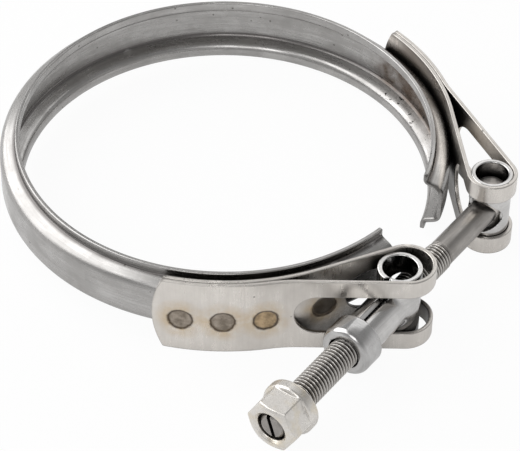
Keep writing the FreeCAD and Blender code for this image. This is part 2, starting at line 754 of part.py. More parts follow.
def build_bolt():
    """A T bolt: a cross head that turns in its trunnion, a shank and a threaded end."""
    body = new_body("clamp_bolt")
    bore = size("bolt_barrel") - size("bolt_barrel_wall") * 2
    head = bore - size("head_clearance") * 2
    head_height = bolt_barrel_height - size("head_inset") * 2
    half_head = head_height / 2
    barrel(body, "cross_head", head, head_height)
    ends = [ring_edge(head.value / 2, sign * half_head.value) for sign in (1, -1)]
    dress(body, "Fillet", "cross_head_round", lambda e: any(t(e) for t in ends), size("head_round"))
    round_pad(body, "plain_shank", size("shank"), size("thread_start"))
    start, end = size("thread_start"), size("bolt_reach")
    round_pad(body, "thread_blank", size("thread"), end - start, out=start)
    for name, y, amount in (
        ("thread_start_chamfer", start, size("thread_lead")),
        ("bolt_end_chamfer", end, size("bolt_chamfer")),
    ):
        dress(body, "Chamfer", name, ring_edge(size("thread").value / 2, -y.value, "y"), amount)
    slot = new_sketch(body, "driver_slot", "XZ_Plane", out=end)
    half, long = size("driver_slot") / 2, size("thread") * 0.75
    along_x, along_z = cos(size("driver_slot_angle")), sin(size("driver_slot_angle"))
    corners = []
    for across, along in ((half, -long), (half, long), (-half, long), (-half, -long)):
        corners.append((along * along_x - across * along_z, along * along_z + across * along_x))
    polygon(slot, corners)
    pocket(body, slot, size("driver_slot_depth"))
    place(body, bolt_line, size("bolt_pivot"))
    return body


def build_nut():
    """A flange lock nut: a round flange toward the collar and a bevelled hexagon."""
    body = new_body("lock_nut")
    height = size("nut_height")
    flange = size("nut_flange")
    corner = size("nut_hex") / cos(30) / 2
    hexagon = new_sketch(body, "nut_hexagon", "XZ_Plane")
    turns = [size("nut_turn_angle") + 60 * step for step in range(6)]
    polygon(hexagon, [(corner * cos(turn), corner * sin(turn)) for turn in turns])
    pad(body, hexagon, height)
    flat = size("nut_nose") / 2
    bevel = new_sketch(body, "nose_bevel", "YZ_Plane")
    outer = corner + 1
    rise = (outer - flat) * tan(size("nut_nose_angle"))
    polygon(bevel, [(-height, flat), (-height - 1, flat), (-height - 1, outer), (rise - height, outer)])
    cut = body.newObject("PartDesign::Groove", "nose_bevel_groove")
    cut.Profile = bevel
    cut.ReferenceAxis = (bevel, ["H_Axis"])
    cut.Angle = 360
    finished(body, cut)
    rim, thick = flange / 2, size("nut_flange_height")
    edge = size("nut_flange_bevel")
    washer = new_sketch(body, "nut_flange", "YZ_Plane")
    outline = [(0, 0), (0, rim - edge / 2), (-edge / 2, rim), (edge - thick, rim)]
    polygon(washer, outline + [(-thick, rim - edge), (-thick, 0)])
    turned = body.newObject("PartDesign::Revolution", "nut_flange_revolution")
    turned.Profile = washer
    turned.ReferenceAxis = (washer, ["H_Axis"])
    turned.Angle = 360
    finished(body, turned)
    bore = size("thread") + size("nut_clearance") * 2
    round_pocket(body, "nut_bore", bore, height)
    mouths = [ring_edge(bore.value / 2, -y, "y") for y in (0, height.value)]
    dress(body, "Chamfer", "bore_chamfer", lambda e: any(t(e) for t in mouths), size("nut_bore_chamfer"))
    place(body, bolt_line, bolt_end - size("nut_overhang") + height)
    return body


# ---------------------------------------------------------------- build, check and write

bodies = [
    build_v_retainer(),
    build_strap(
        "bolt_side_strap",
        1,
        size("bolt_strap_angle"),
        size("bolt_leaf_angle"),
        bolt_line,
        size("bolt_pivot"),
        bolt_loop_inside,
    ),
    build_strap(
        "nut_side_strap",
        -1,
        size("nut_strap_angle"),
        size("nut_leaf_angle"),
        bolt_line + size("loop_shift_x"),
        size("nut_pivot") + size("loop_shift_y"),
        nut_loop_inside,
    ),
    build_bolt_trunnion(),
    build_nut_trunnion(),
    build_collar(),
    build_bolt(),
    build_nut(),
]
doc.recompute()
for item in doc.Objects:
    if set(item.State) & {"Invalid", "Error"}:
        raise RuntimeError(f"{item.Name} is {item.State}")
for body in bodies:
    shape = body.Shape
    if shape.isNull() or not shape.isValid() or len(shape.Solids) != 1:
        raise RuntimeError(f"{body.Label} is not one valid solid")
for body in bodies:
    body.Shape.exportStep(f"parts/{body.Label}.step")
    print(body.Label, round(body.Shape.Volume, 1))
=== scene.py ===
import json
import math

import bmesh
import bpy
import numpy as np
from mathutils import Matrix, Vector


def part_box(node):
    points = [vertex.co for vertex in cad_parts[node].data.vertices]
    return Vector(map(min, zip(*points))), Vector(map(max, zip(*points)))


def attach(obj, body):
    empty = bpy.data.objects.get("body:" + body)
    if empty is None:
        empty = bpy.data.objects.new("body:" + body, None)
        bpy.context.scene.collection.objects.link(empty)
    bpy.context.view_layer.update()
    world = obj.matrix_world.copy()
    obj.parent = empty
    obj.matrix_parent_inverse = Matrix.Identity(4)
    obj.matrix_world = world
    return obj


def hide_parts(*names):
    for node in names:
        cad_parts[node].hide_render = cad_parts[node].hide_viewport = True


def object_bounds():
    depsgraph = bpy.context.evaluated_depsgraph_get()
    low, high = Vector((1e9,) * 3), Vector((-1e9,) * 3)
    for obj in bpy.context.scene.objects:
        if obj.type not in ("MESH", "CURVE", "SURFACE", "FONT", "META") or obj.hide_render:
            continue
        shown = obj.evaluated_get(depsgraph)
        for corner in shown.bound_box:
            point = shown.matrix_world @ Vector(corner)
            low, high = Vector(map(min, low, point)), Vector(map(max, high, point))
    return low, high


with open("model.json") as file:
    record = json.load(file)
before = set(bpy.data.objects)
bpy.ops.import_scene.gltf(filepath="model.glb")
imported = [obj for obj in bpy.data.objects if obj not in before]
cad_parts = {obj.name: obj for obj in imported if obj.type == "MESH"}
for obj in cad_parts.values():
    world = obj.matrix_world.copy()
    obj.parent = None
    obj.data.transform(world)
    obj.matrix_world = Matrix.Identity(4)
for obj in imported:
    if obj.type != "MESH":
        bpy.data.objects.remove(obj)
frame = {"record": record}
CAD_BOX = [list(corner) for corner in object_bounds()]
RECORD = frame["record"]
MM = 0.001
TAU = 2 * math.pi


# ---------------------------------------------------------------- sizes, in millimetres


def box_mm(node):
    """The low and high corners of a CAD node's box."""
    low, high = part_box(node)
    return np.array(low) / MM, np.array(high) / MM


RING_LOW, RING_HIGH = box_mm("v_retainer")
SEAT = next(m for m in RECORD["mounts"] if m["name"] == "flange_seat")["dims"]["r_mm"]
BASE = -RING_LOW[0]
SHEET = 1.2
FLOOR_HALF = 4.9
FLOOR_RADIUS = BASE - SHEET
GROOVE_ANGLE = 20.0
RING_START, RING_END = 17.0, 352.0

STRAP = 1.1
LEAF_GAP = 0.1
LEAF_BEND = 40.0
STRAP_HALF = box_mm("nut_side_strap")[1][2]
SLOT_HALF = 6.25
OUTER_REACH, INNER_REACH = 28.5, 14.0
END_ROUND, END_FADE = 25.0, 14.0
STRAP_EDGE = 0.22
# angles in degrees round the ring: each strap's tip, and where its outer leaf leaves the ring
BOLT_TIP, BOLT_LEAF_OFF = 79, 54
NUT_TIP, NUT_LEAF_OFF = 71, 43.5
WELD_RADIUS, WELD_DEPTH, WELD_SOFT = 3.1, 0.28, 0.11
WELD_RIM, WELD_RIM_REACH, WELD_RIM_WIDTH = 0.07, 0.5, 0.32
WELD_DOME = 0.08
WELD_MARGIN, WELD_STEP, WELD_COUNT = 6.8, 9.9, 3
WELD_HEIGHT, LONE_HEIGHT = -1.0, -1.6
LONE_TURN = 1.2
PRINT_SQUASH = 1.05

SWIVEL = next(j for j in RECORD["behaviour"]["joints"] if j["name"] == "bolt_swivel")
PIVOT = np.array(SWIVEL["pos_m"]) / MM
BOLT_LOW = box_mm("clamp_bolt")[0]
SEAT_LOW, SEAT_HIGH = box_mm("nut_trunnion")
COLLAR_LOW, COLLAR_HIGH = box_mm("nut_seat_collar")
NUT_LOW, NUT_HIGH = box_mm("lock_nut")
BARREL_LOW, BARREL_HIGH = box_mm("bolt_trunnion")
NUT_BARREL_RADIUS = (SEAT_HIGH[0] - SEAT_LOW[0]) / 2
NUT_BARREL_Y = SEAT_HIGH[1] - NUT_BARREL_RADIUS
BARREL_RADIUS = (BARREL_HIGH[0] - BARREL_LOW[0]) / 2
BOLT_X = PIVOT[0]
SLEEVE_RADIUS, SLEEVE_BORE = 5.4, 4.3
THREAD_RADIUS, THREAD_DEPTH = 3.97, 0.62
SHANK_RADIUS = 3.65
NUT_FLAT, NUT_NOSE, NUT_FLANGE_HEIGHT = 6.35, 5.45, 3.2
PITCH = 25.4 / 24
THREAD_START = PIVOT[1] - 23.6
BOLT_LOOP = (PIVOT[0], PIVOT[1])
NUT_LOOP = (BOLT_X + 1.38, -(NUT_BARREL_Y + 1.45))
BOLT_LOOP_INSIDE = BARREL_RADIUS + 0.08
NUT_LOOP_INSIDE = NUT_BARREL_RADIUS + 0.47


# ---------------------------------------------------------------- meshes


def add_mesh(name, points, faces, body, node, smooth_angle):
    """A mesh piece from points in millimetres, which rides on a body and stands for a CAD node."""
    mesh = bpy.data.meshes.new(name)
    mesh.from_pydata((np.asarray(points) * MM).tolist(), [], [list(map(int, f)) for f in faces])
    mesh.validate()
    mesh.update()
    mesh.shade_smooth()
    mesh.set_sharp_from_angle(angle=math.radians(smooth_angle))
    piece = bpy.data.objects.new(name, mesh)
    bpy.context.scene.collection.objects.link(piece)
    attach(piece, body)
    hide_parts(node)
    return piece


def rounded(points, radii, steps):
    """A closed outline with each corner replaced by an arc of its own radius."""
    result = []
    count = len(points)
    for i in range(count):
        corner = np.array(points[i], float)
        radius = radii[i]
        if radius <= 0:
            result.append(corner)
            continue
        before = np.array(points[i - 1], float) - corner
        after = np.array(points[(i + 1) % count], float) - corner
        before /= np.linalg.norm(before)
        after /= np.linalg.norm(after)
        half = math.acos(np.clip(before @ after, -1, 1)) / 2
        reach = radius / math.tan(half)
        middle = corner + (before + after) / np.linalg.norm(before + after) * radius / math.sin(half)
        first = corner + before * reach - middle
        last = corner + after * reach - middle
        turn = math.atan2(first[0] * last[1] - first[1] * last[0], first @ last)
        for k in range(steps + 1):
            a = turn * k / steps
            c, s = math.cos(a), math.sin(a)
            result.append(middle + np.array([first[0] * c - first[1] * s, first[0] * s + first[1] * c]))
    return np.array(result)


def inset(outline, amount):
    """The outline moved inward by an amount at each point, for a closed outline run counter-clockwise."""
    ahead = np.roll(outline, -1, axis=0) - outline
    behind = outline - np.roll(outline, 1, axis=0)
    tangent = ahead / np.linalg.norm(ahead, axis=1)[:, None]
    tangent += behind / np.linalg.norm(behind, axis=1)[:, None]
    tangent /= np.linalg.norm(tangent, axis=1)[:, None]
    inward = np.stack([-tangent[:, 1], tangent[:, 0]], axis=1)
    return outline + inward * amount


def densify(outline, longest):
    """The closed outline with points added until no step is longer than asked for."""
    result = []
    for a, b in zip(outline, np.roll(outline, -1, axis=0)):
        parts = max(1, int(math.ceil(np.linalg.norm(b - a) / longest)))
        result.extend(a + (b - a) * k / parts for k in range(parts))
    return np.array(result)


def lathe(profile, axis_point, segments):
    """A turned shape about an axis along Y: profile points are (distance along Y, radius), closed."""
    points, faces = [], []
    count = len(profile)
    for i in range(segments):
        a = TAU * i / segments
        for y, r in profile:
            points.append((axis_point[0] + r * math.cos(a), y, axis_point[2] + r * math.sin(a)))
    for i in range(segments):
        j = (i + 1) % segments
        for k in range(count):
            m = (k + 1) % count
            faces.append((i * count + k, j * count + k, j * count + m, i * count + m))
    return points, faces


def ring_faces(rows, around):
    """Faces over a stack of rings of points, closed at both ends."""
    faces = []
    for j in range(rows - 1):
        for i in range(around):
            m = (i + 1) % around
            faces.append((j * around + i, (j + 1) * around + i, (j + 1) * around + m, j * around + m))
    faces.append(tuple(range(around)))
    faces.append(tuple((rows - 1) * around + i for i in reversed(range(around))))
    return faces


# ---------------------------------------------------------------- the V-retainer


def build_retainer():
    """The V section swept round the ring, its two ends a little rounded."""
    slope = math.tan(math.radians(GROOVE_ANGLE))
    skin = SHEET / math.cos(math.radians(GROOVE_ANGLE))
    tip = RING_HIGH[2]
    inner_bend = FLOOR_HALF + (FLOOR_RADIUS - SEAT) * slope
    shoulder = FLOOR_HALF - SHEET * slope + skin
    outer_bend = inner_bend - SHEET * slope + skin
    # the section's upper half: radius, height and the round at that corner
    upper = [
        (BASE, shoulder, 2.6),
        (SEAT + SHEET, outer_bend, 0.7),
        (SEAT + SHEET, tip, 0.32),
        (SEAT, tip, 0.32),
        (SEAT, inner_bend, 1.9),
        (FLOOR_RADIUS, FLOOR_HALF, 1.4),
    ]
    corners = upper + [(r, -z, radius) for r, z, radius in reversed(upper)]
    outline = rounded([c[:2] for c in corners], [c[2] for c in corners], 6)
    outline = densify(outline, 1.2)
    steps = 420
    round_end = 0.2
    nudge = math.degrees(round_end / BASE)
    stations = [
        (RING_START, inset(outline, round_end)),
        (RING_START + nudge * 0.3, inset(outline, round_end * 0.3)),
    ]
    for k in range(steps + 1):
        angle = RING_START + nudge + (RING_END - RING_START - 2 * nudge) * k / steps
        stations.append((angle, outline))
    stations.append((RING_END - nudge * 0.3, inset(outline, round_end * 0.3)))
    stations.append((RING_END, inset(outline, round_end)))
    count = len(outline)
    points, faces = [], []
    for angle, shape in stations:
        c, s = math.cos(math.radians(angle)), math.sin(math.radians(angle))
        points.extend((r * c, r * s, z) for r, z in shape)
    for k in range(len(stations) - 1):
        for i in range(count):
            j = (i + 1) % count
            faces.append((k * count + i, k * count + j, (k + 1) * count + j, (k + 1) * count + i))
    faces.append(tuple(reversed(range(count))))
    faces.append(tuple((len(stations) - 1) * count + i for i in range(count)))
    return add_mesh("retainer_ring", points, faces, "ring", "v_retainer", 40)


# ---------------------------------------------------------------- the folded straps


def unit(angle):
    """The direction in plan at an angle in degrees."""
    return np.array([math.cos(math.radians(angle)), math.sin(math.radians(angle))])


class StrapPath:
    """The middle line of a folded strip in plan, from its outer leaf's tip round the loop and back."""

    def __init__(self, tip, leaf_off, loop, loop_inside):
        loop = np.array(loop, float)
        back = BASE + 2 * STRAP + LEAF_GAP
        bend_centre = unit(leaf_off) * (back + LEAF_BEND)
        run = loop - bend_centre
        outside = loop_inside + STRAP
        lean = math.degrees(math.asin((LEAF_BEND + outside) / np.linalg.norm(run)))
        outer_way = math.degrees(math.atan2(run[1], run[0])) + lean
        lean = math.degrees(math.asin((BASE + outside) / np.linalg.norm(loop)))
        inner_way = math.degrees(math.atan2(loop[1], loop[0])) - lean
        outer_normal, inner_normal = outer_way + 90, inner_way + 90
        middle = loop_inside + STRAP / 2
        outer_radius = back - STRAP / 2
        inner_radius = BASE + STRAP / 2
        turn_radius = LEAF_BEND + STRAP / 2
        self.parts = []
        self._arc(np.zeros(2), outer_radius, tip, leaf_off)
        self._arc(bend_centre, turn_radius, leaf_off + 180, outer_normal + 180)
        self._line(bend_centre - unit(outer_normal) * turn_radius, loop + unit(outer_normal) * middle)
        self.loop_start = self.length
        end = inner_normal + 180
        while end > outer_normal:
            end -= 360
        self._arc(loop, middle, outer_normal, end)
        self.loop_end = self.length
        self._line(loop - unit(inner_normal) * middle, unit(inner_normal) * inner_radius)
        self.contact = self.length
        self._arc(np.zeros(2), inner_radius, inner_normal, tip)
        self.outer_radius = outer_radius

    @property
    def length(self):
        return sum(p[-1] for p in self.parts)

    def _arc(self, centre, radius, start, end):
        self.parts.append(("arc", centre, radius, start, end, abs(math.radians(end - start)) * radius))

    def _line(self, start, end):
        self.parts.append(("line", start, end, None, None, float(np.linalg.norm(end - start))))

    def place(self, s, side_offset):
        """Points in plan at distances s along the strip and offsets to the left of its run."""
        s = np.asarray(s, float)
        out = np.zeros((len(s), 2))
        start = 0.0
        for index, part in enumerate(self.parts):
            length = part[-1]
            last = index == len(self.parts) - 1
            mask = (s < start + length) | last
            if index:
                mask &= s >= start
            local = s[mask] - start
            offset = side_offset[mask]
            if part[0] == "arc":
                _, centre, radius, a0, a1, _ = part
                sense = 1 if a1 > a0 else -1
                angle = np.radians(a0) + sense * local / radius
                reach = radius - sense * offset
                out[mask] = centre + np.stack([np.cos(angle), np.sin(angle)], 1) * reach[:, None]
            else:
                _, a, b, _, _, _ = part
                way = (b - a) / length
                left = np.array([-way[1], way[0]])
                out[mask] = a + local[:, None] * way + offset[:, None] * left
            start += length
        return out


def spread(marks, steps):
    """Distances through the marks, with the step asked for between each pair."""
    values = [marks[0]]
    for a, b, step in zip(marks, marks[1:], steps):
        parts = max(1, int(round((b - a) / step)))
        values.extend(a + (b - a) * (k + 1) / parts for k in range(parts))
    return values


def build_strap(name, node, side, tip, leaf_off, loop, loop_inside):
    """A folded strap with its slot and weld prints, and the prints' places in metres."""
    path = StrapPath(tip, leaf_off, loop, loop_inside)
    total = path.length
    edge = STRAP_EDGE
    half = STRAP_HALF
    welds = [tip - WELD_MARGIN - WELD_STEP * k for k in range(WELD_COUNT)]
    slot_a = path.loop_start - OUTER_REACH
    slot_b = path.loop_end + INNER_REACH
    weld_s = [math.radians(tip - angle) * path.outer_radius for angle in welds]
    lone_s = path.contact - math.radians(LONE_TURN) * BASE
    # stations along the strip: fine at the prints and where the slot closes
    hole = SLOT_HALF + edge
    a0, b0 = slot_a - edge, slot_b + edge
    arcs_a = [a0 + hole * (1 - math.cos(t)) for t in np.linspace(0, math.pi / 2, 22)]
    arcs_b = [b0 - hole * (1 - math.cos(t)) for t in np.linspace(math.pi / 2, 0, 22)]
    fine, medium, coarse = 0.36, 0.5, 1.0
    past_lone = lone_s + 4.0
    first_leaf = spread([edge, a0], [fine])[:-1]
    middle = spread([arcs_a[-1], path.loop_start, path.loop_end, arcs_b[0]], [coarse, medium, coarse])[1:-1]
    last_leaf = spread([b0, past_lone, total - edge], [fine, coarse])[1:]
    stations = np.array(first_leaf + arcs_a + middle + arcs_b + last_leaf)
    columns = len(stations)

    def hole_half(s):
        """Half the slot's width at a distance along the strip."""
        if s <= a0 or s >= b0:
            return 0.0
        reach = min(s - a0, b0 - s)
        if reach >= hole:
            return hole
        return math.sqrt(max(0.0, hole * hole - (hole - reach) ** 2))

    rows = 34
    levels = np.linspace(0, 1, rows + 1)
    grid = {}
    flat = []

    def vertex(s, z):
        flat.append((s, z))
        return len(flat) - 1

    for i, s in enumerate(stations):
        inner = hole_half(s)
        closed = inner <= 1e-9
        for sign in (1, -1):
            for k, level in enumerate(levels):
                if closed and sign < 0 and k == 0:
                    grid[i, sign, k] = grid[i, 1, 0]
                    continue
                z = (inner + (half - edge - inner) * level) * sign
                bow = END_ROUND - math.sqrt(END_ROUND**2 - z * z)
                shift = bow * max(0.0, 1 - s / END_FADE) - bow * max(0.0, 1 - (total - s) / END_FADE)
                grid[i, sign, k] = vertex(s + shift, z)
    quads = []
    for i in range(columns - 1):
        for sign in (1, -1):
            for k in range(rows):
                quad = [grid[i, sign, k], grid[i + 1, sign, k]]
                quad += [grid[i + 1, sign, k + 1], grid[i, sign, k + 1]]
                quad = list(dict.fromkeys(quad if sign > 0 else quad[::-1]))
                if len(quad) > 2:
                    quads.append(quad)
    flat = np.array(flat)
    # boundary loops, each run with the metal on its left
    outer = [grid[i, -1, rows] for i in range(columns)]
    outer += [grid[columns - 1, -1, k] for k in range(rows - 1, -1, -1)]
    outer += [grid[columns - 1, 1, k] for k in range(1, rows + 1)]
    outer += [grid[i, 1, rows] for i in range(columns - 2, -1, -1)]
    outer += [grid[0, 1, k] for k in range(rows - 1, -1, -1)]
    outer += [grid[0, -1, k] for k in range(1, rows)]
    open_columns = [i for i in range(columns) if a0 < stations[i] < b0]
    inner_loop = [grid[i, 1, 0] for i in open_columns] + [grid[open_columns[-1] + 1, 1, 0]]
    inner_loop += [grid[i, -1, 0] for i in reversed(open_columns)] + [grid[open_columns[0] - 1, 1, 0]]
    outer = list(dict.fromkeys(outer))

    count = len(flat)
    s_all = [flat[:, 0], flat[:, 0]]
    z_all = [flat[:, 1], flat[:, 1]]
    h_all = [np.full(count, STRAP / 2), np.full(count, -STRAP / 2)]
    faces = quads + [[v + count for v in reversed(q)] for q in quads]
    used = 2 * count
    # both edges are rounded: three steps out to the middle of the sheet's rim and three back
    steps_out = [(math.pi / 6 * k, 1) for k in (1, 2, 3)]
    steps_back = [(math.pi / 6 * k, -1) for k in (3, 2, 1)]
    for ring in (outer, inner_loop):
        shape = flat[ring]
        outward = -(inset(shape, 1.0) - shape)
        previous = ring
        for lean, level in steps_out + steps_back:
            offset = edge * math.sin(lean)
            height = (STRAP / 2 - edge * (1 - math.cos(lean))) * level
            moved = shape + outward * offset
            s_all.append(moved[:, 0])
            z_all.append(moved[:, 1])
            h_all.append(np.full(len(ring), height))
            current = list(range(used, used + len(ring)))
            used += len(ring)
            for k in range(len(ring)):
                m = (k + 1) % len(ring)
                faces.append([previous[k], current[k], current[m], previous[m]])
            previous = current
        bottom = [v + count for v in ring]
        for k in range(len(ring)):
            m = (k + 1) % len(ring)
            faces.append([previous[k], bottom[k], bottom[m], previous[m]])
    s, z, h = np.concatenate(s_all), np.concatenate(z_all), np.concatenate(h_all)

    def print_depth(centre_s, centre_z):
        """How far a weld print sinks: a hollow with a low dome in it and a raised rim round it."""
        reach = np.hypot((s - centre_s), (z - centre_z) * PRINT_SQUASH)
        floor = 1 / (1 + np.exp((reach - WELD_RADIUS) / WELD_SOFT))
        rim = np.exp(-(((reach - WELD_RADIUS - WELD_RIM_REACH) / WELD_RIM_WIDTH) ** 2))
        dome = np.clip(1 - (reach / WELD_RADIUS) ** 2, 0, 1)
        return WELD_DEPTH * floor - WELD_RIM * rim - WELD_DOME * dome

    # prints go on the leaf's outward face, and the lone one on the face that looks at the outer leaf
    outward_face = h > STRAP / 2 - 1e-6
    for centre in weld_s:
        h = h - np.where(outward_face, print_depth(centre, WELD_HEIGHT), 0)
    lone = print_depth(lone_s, LONE_HEIGHT)
    h = h + np.where((h < -STRAP / 2 + 1e-6) & (s > path.loop_end), lone, 0)

    plan = path.place(s, h)
    points = np.stack([plan[:, 0], plan[:, 1] * side, z], 1)
    if side < 0:
        faces = [f[::-1] for f in faces]
    marks = path.place(np.array(weld_s + [lone_s]), np.array([STRAP / 2] * len(weld_s) + [-STRAP / 2]))
    heights = [WELD_HEIGHT] * len(weld_s) + [LONE_HEIGHT]
    prints = [(x * MM, y * side * MM, height * MM) for (x, y), height in zip(marks, heights)]
    return add_mesh(name, points, faces, "ring", node, 40), prints


# ---------------------------------------------------------------- shapes from distance functions


def surface_net(field, low, high, step):
    """A quad mesh on the zero level of a signed distance field, each vertex drawn onto it."""
    low, high = np.array(low, float), np.array(high, float)
    counts = np.ceil((high - low) / step).astype(int) + 1
    axes = [low[k] + step * np.arange(counts[k]) for k in range(3)]
    grid = np.stack(np.meshgrid(*axes, indexing="ij"), -1)
    values = field(grid.reshape(-1, 3)).reshape(counts)
    inside = values < 0
    corners = [(i, j, k) for i in (0, 1) for j in (0, 1) for k in (0, 1)]
    total = np.zeros(counts - 1, int)
    for i, j, k in corners:
        total += inside[i : counts[0] - 1 + i, j : counts[1] - 1 + j, k : counts[2] - 1 + k]
    cells = (total > 0) & (total < 8)
    index = -np.ones(counts - 1, int)
    where = np.argwhere(cells)
    index[cells] = np.arange(len(where))
    points = low + (where + 0.5) * step
    for _ in range(8):
        points = points - drawn_step(field, points, step)
    faces = []
    for axis in range(3):
        a, b = [(1, 2), (2, 0), (0, 1)][axis]
        lower = [slice(None)] * 3
        upper = [slice(None)] * 3
        lower[axis], upper[axis] = slice(0, -1), slice(1, None)
        first, second = inside[tuple(lower)], inside[tuple(upper)]
        for crossing, flip in ((first & ~second, False), (~first & second, True)):
            spots = np.argwhere(crossing)
            keep = (spots[:, a] > 0) & (spots[:, b] > 0)
            keep &= (spots[:, a] < counts[a] - 1) & (spots[:, b] < counts[b] - 1)
            spots = spots[keep]
            quad = []
            for da, db in ((0, 0), (1, 0), (1, 1), (0, 1)):
                cell = spots.copy()
                cell[:, a] -= 1 - da
                cell[:, b] -= 1 - db
                quad.append(index[cell[:, 0], cell[:, 1], cell[:, 2]])
            quad = np.stack(quad, 1)
            faces.append(quad[:, ::-1] if flip else quad)
    return points, np.concatenate(faces)


def drawn_step(field, points, step):
    """Newton's step of each point toward the zero level, no longer than half a cell."""
    small = 1e-3
    value = field(points)
    nudges = small * np.eye(3)
    slope = np.stack([field(points + nudge) - field(points - nudge) for nudge in nudges], 1)
    slope /= 2 * small
    move = slope * (value / np.maximum((slope**2).sum(1), 0.05))[:, None]
    length = np.linalg.norm(move, axis=1)
    return move * np.minimum(1, 0.5 * step / np.maximum(length, 1e-9))[:, None]


def blend_max(a, b, k):
    """Greater of two distances, with a round of about radius k where they meet."""
    h = np.maximum(k - np.abs(a - b), 0) / k
    return np.maximum(a, b) + h * h * k * 0.25


def blend_min(a, b, k):
    """Lesser of two distances, with the same round."""
    return -blend_max(-a, -b, k)


def tube(p, centre, radius, axis):
    """Distance to a round bar along an axis."""
    others = [k for k in range(3) if k != axis]
    return np.hypot(p[:, others[0]] - centre[others[0]], p[:, others[1]] - centre[others[1]]) - radius


def slab(p, axis, low, high):
    """Distance to the space between two planes across an axis."""
    middle, half = (low + high) / 2, (high - low) / 2
    return np.abs(p[:, axis] - middle) - half


def build_nut_trunnion():
    """The barrel and sleeve rolled from one sheet, with a seam along the front."""
    centre = np.array([BOLT_X, NUT_BARREL_Y, 0.0])
    top = SEAT_HIGH[2]
    end = SEAT_LOW[1]
    wall = 1.3
    window_radius = 5.0
    seam_half, lip_reach, lip_depth = 0.13, 1.1, 0.9

    def field(p):
        barrel = tube(p, centre, NUT_BARREL_RADIUS, 2)
        shell = tube(p, centre, SLEEVE_RADIUS, 1)
        shell = blend_max(shell, slab(p, 1, end, centre[1]), 0.2)
        # the barrel's ends close on the sheet's cut edge; the sleeve grows out of its front
        outer = blend_min(blend_max(barrel, slab(p, 2, -top, top), 0.3), shell, 1.6)
        outer = blend_max(outer, -tube(p, centre, NUT_BARREL_RADIUS - wall, 2), 0.3)
        inside = np.maximum(tube(p, centre, SLEEVE_BORE, 1), p[:, 1] - centre[1])
        outer = blend_max(outer, -inside, 0.25)
        window = np.maximum(tube(p, centre, window_radius, 1), centre[1] - p[:, 1])
        outer = blend_max(outer, -window, 0.25)
        # the seam: two bent edges that meet in a groove along the barrel's front and the sleeve
        across = np.abs(p[:, 0] - BOLT_X)
        front = p[:, 1] < centre[1]
        skin = np.where(np.abs(p[:, 2]) > SLEEVE_RADIUS, barrel, shell)
        flare = (across - lip_reach - skin * 0.9) * 0.7
        cut = blend_min(across - seam_half, np.maximum(flare, -skin - lip_depth), 0.3)
        cut = np.where(front, cut, 1.0)
        return blend_max(outer, -cut, 0.15)

    low = [BOLT_X - NUT_BARREL_RADIUS - 0.6, end - 0.6, -top - 0.6]
    high = [BOLT_X + NUT_BARREL_RADIUS + 0.6, SEAT_HIGH[1] + 0.6, top + 0.6]
    points, faces = surface_net(field, low, high, 0.2)
    return add_mesh("rolled_trunnion", points, faces, "nut_seat", "nut_trunnion", 50)


def build_bolt_trunnion():
    """The open barrel round the bolt's head, with the window that its shank goes through."""
    radius = BARREL_RADIUS
    top = BARREL_HIGH[2]
    centre = np.array([BOLT_X, PIVOT[1], 0.0])
    wall = 1.2
    window_radius, window_back = 5.2, 1.5

    def field(p):
        outer = blend_max(tube(p, centre, radius, 2), slab(p, 2, -top, top), 0.3)
        outer = blend_max(outer, -tube(p, centre, radius - wall, 2), 0.3)
        window = np.maximum(tube(p, centre, window_radius, 1), p[:, 1] - (centre[1] - window_back))
        return blend_max(outer, -window, 0.25)

    low = [BOLT_X - radius - 0.6, centre[1] - radius - 0.6, -top - 0.6]
    high = [BOLT_X + radius + 0.6, centre[1] + radius + 0.6, top + 0.6]
    points, faces = surface_net(field, low, high, 0.22)
    return add_mesh("window_barrel", points, faces, "bolt", "bolt_trunnion", 50)


def build_nut():
    """The flange nut: a hexagon with a bevelled nose on a round flange."""
    front, back = NUT_LOW[1], NUT_HIGH[1]
    flange = (NUT_HIGH[0] - NUT_LOW[0]) / 2
    bore_radius = THREAD_RADIUS + 0.05
    bevel_size, mouth_size = 0.45, 0.8
    # a cone at 30 degrees to the nut's face, and one at 45 degrees
    cos_30, sin_30, sin_45 = 0.866, 0.5, 0.707

    def field(p):
        x, y, z = p[:, 0] - BOLT_X, p[:, 1], p[:, 2]
        radius = np.hypot(x, z)
        hexagon = y - back + 1
        for k in range(3):
            a = math.radians(30 + 60 * k)
            hexagon = blend_max(hexagon, np.abs(x * math.cos(a) + z * math.sin(a)) - NUT_FLAT, 0.3)
        hexagon = blend_max(hexagon, front - y, 0.25)
        nose = (radius - NUT_NOSE) * sin_30 + (front - y) * cos_30
        hexagon = blend_max(hexagon, nose, 0.25)
        washer = blend_max(radius - flange, y - back, 0.5)
        washer = blend_max(washer, back - NUT_FLANGE_HEIGHT - y, 0.2)
        bevel = (radius - flange + bevel_size + back - NUT_FLANGE_HEIGHT - y) * sin_45
        solid = blend_min(hexagon, blend_max(washer, bevel, 0.3), 0.3)
        mouths = np.maximum(front - y, y - back) + bore_radius + mouth_size
        bore = np.minimum(radius - bore_radius, (radius - mouths) * sin_45)
        return blend_max(solid, -bore, 0.2)

    low = [NUT_LOW[0] - 0.6, front - 0.6, NUT_LOW[2] - 0.6]
    high = [NUT_HIGH[0] + 0.6, back + 0.6, NUT_HIGH[2] + 0.6]
    points, faces = surface_net(field, low, high, 0.17)
    return add_mesh("flange_nut", points, faces, "nut", "lock_nut", 60)


